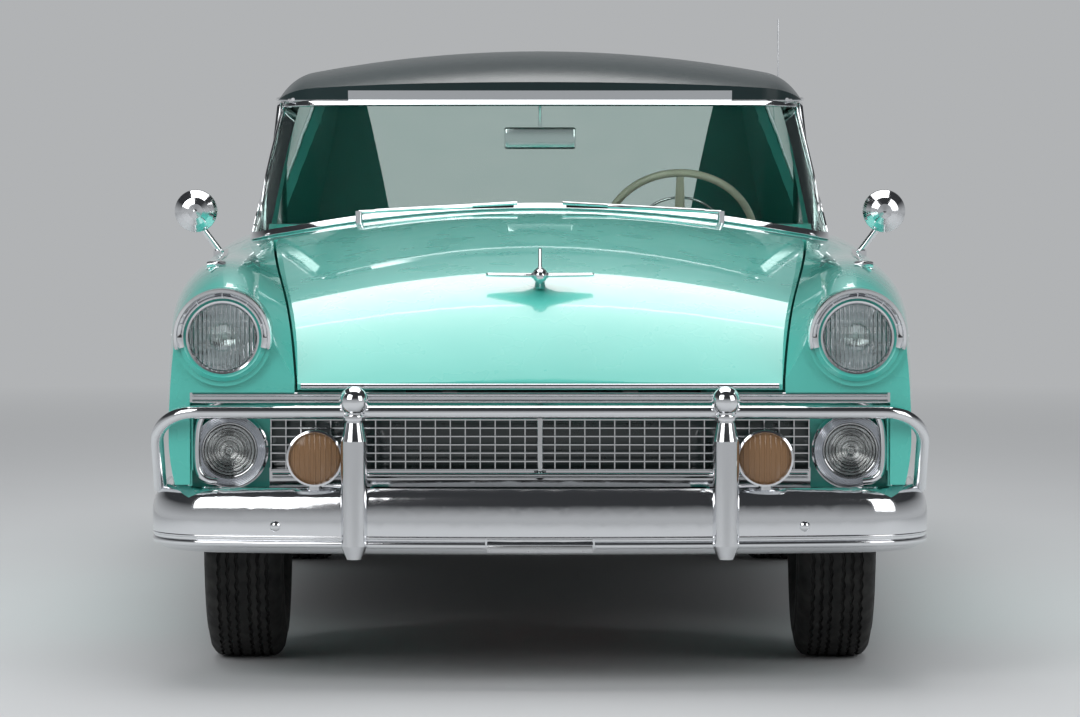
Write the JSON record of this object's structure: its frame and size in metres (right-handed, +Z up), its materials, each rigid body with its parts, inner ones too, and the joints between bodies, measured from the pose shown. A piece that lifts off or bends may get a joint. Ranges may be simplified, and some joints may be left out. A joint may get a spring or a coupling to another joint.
{
  "type": "1950s classic car, full-size two-door hardtop",
  "caption": "Full-size two-door hardtop car of the mid 1950s with opening doors, hood and deck lid, rolling and steering wheels.",
  "frame": {"origin": "on the floor under the middle of the car's length and width", "axes": "+X to the driver's side, +Y from the nose to the tail, +Z up"},
  "size_m": [1.984, 5.0392, 1.634],
  "materials": {
    "body_paint": "gloss",
    "roof_paint": "gloss",
    "clear_glass": "polished",
    "dark_trim": "satin",
    "chrome": "polished",
    "lamp_glass": "ribbed",
    "amber_glass": "ribbed",
    "red_lens": "ribbed",
    "interior_trim": "satin",
    "ivory_plastic": "gloss",
    "upholstery": "vinyl",
    "cast_iron": "rough",
    "black_metal": "satin",
    "underbody": "matte",
    "steel": "dull",
    "tyre_rubber": "matte",
    "wheel_metal": "satin"
  },
  "bodies": {
    "body": {"antenna": "chrome", "bumper_guard": "chrome", "chassis_frame": "black_metal", "cowl": "body_paint", "dashboard": "interior_trim", "engine": "cast_iron", "exhaust": "steel", "fender_left": "body_paint", "fender_right": "body_paint", "floor_pan": "underbody", "fog_lamps": "chrome", "fog_lenses": "amber_glass", "front_bumper": "chrome", "front_seat": "upholstery", "front_suspension": "black_metal", "fuel_tank": "steel", "grille": "chrome", "grille_surround": "dark_trim", "headlamp_visors": "chrome", "lamp_bezels": "chrome", "lamp_lenses": "lamp_glass", "mirrors": "chrome", "quarter_left": "body_paint", "quarter_right": "body_paint", "radiator": "black_metal", "rear_axle": "black_metal", "rear_bumper": "chrome", "rear_deck": "body_paint", "rear_glass": "clear_glass", "rear_seat": "upholstery", "roof": "roof_paint", "tail_lamps": "red_lens", "tail_panel": "body_paint", "windshield": "clear_glass", "wipers": "chrome"},
    "hood": {"hood": "body_paint", "hood_ornament": "chrome"},
    "deck_lid": {"deck_lid": "body_paint"},
    "door_left": {"door_left": "body_paint", "door_glass_left": "clear_glass", "door_handle_left": "chrome"},
    "door_right": {"door_right": "body_paint", "door_glass_right": "clear_glass", "door_handle_right": "chrome"},
    "knuckle_left": {"knuckle_left": "cast_iron"},
    "knuckle_right": {"knuckle_right": "cast_iron"},
    "steering_wheel": {"steering_wheel": "ivory_plastic"},
    "wheel_front_left": {"tyre_front_left": "tyre_rubber", "wheel_front_left": "wheel_metal"},
    "wheel_front_right": {"tyre_front_right": "tyre_rubber", "wheel_front_right": "wheel_metal"},
    "wheel_rear_left": {"tyre_rear_left": "tyre_rubber", "wheel_rear_left": "wheel_metal"},
    "wheel_rear_right": {"tyre_rear_right": "tyre_rubber", "wheel_rear_right": "wheel_metal"}
  },
  "joints": [
    {"name": "hood_hinge", "type": "hinge", "parent": "body", "child": "hood", "pos_m": [0, -0.894, 1.106], "axis": [-1, 0, 0], "range_deg": [0, 50]},
    {"name": "deck_lid_hinge", "type": "hinge", "parent": "body", "child": "deck_lid", "pos_m": [0, 1.604, 1.016], "axis": [1, 0, 0], "range_deg": [0, 60]},
    {"name": "door_left_hinge", "type": "hinge", "parent": "body", "child": "door_left", "pos_m": [0.95, -0.414, 0.6], "axis": [0, 0, -1], "range_deg": [0, 65]},
    {"name": "door_right_hinge", "type": "hinge", "parent": "body", "child": "door_right", "pos_m": [-0.95, -0.414, 0.6], "axis": [0, 0, 1], "range_deg": [0, 65]},
    {"name": "steer_left", "type": "hinge", "parent": "body", "child": "knuckle_left", "pos_m": [0.64, -1.66, 0.355], "axis": [0, 0, 1], "range_deg": [-33, 33]},
    {"name": "steer_right", "type": "hinge", "parent": "body", "child": "knuckle_right", "pos_m": [-0.64, -1.66, 0.355], "axis": [0, 0, 1], "range_deg": [-33, 33]},
    {"name": "steering_wheel_turn", "type": "hinge", "parent": "body", "child": "steering_wheel", "pos_m": [0.39, -0.05, 1.012], "axis": [0, 0.866, 0.5], "range_deg": [-528, 528]},
    {"name": "spin_front_left", "type": "hinge", "parent": "knuckle_left", "child": "wheel_front_left", "pos_m": [0.737, -1.66, 0.355], "axis": [1, 0, 0], "continuous": true},
    {"name": "spin_front_right", "type": "hinge", "parent": "knuckle_right", "child": "wheel_front_right", "pos_m": [-0.737, -1.66, 0.355], "axis": [1, 0, 0], "continuous": true},
    {"name": "spin_rear_left", "type": "hinge", "parent": "body", "child": "wheel_rear_left", "pos_m": [0.712, 1.274, 0.355], "axis": [1, 0, 0], "continuous": true},
    {"name": "spin_rear_right", "type": "hinge", "parent": "body", "child": "wheel_rear_right", "pos_m": [-0.712, 1.274, 0.355], "axis": [1, 0, 0], "continuous": true}
  ],
  "couplings": [
    {"joint": "steer_right", "follows": "steer_left", "ratio": 1},
    {"joint": "steering_wheel_turn", "follows": "steer_left", "ratio": 16}
  ]
}
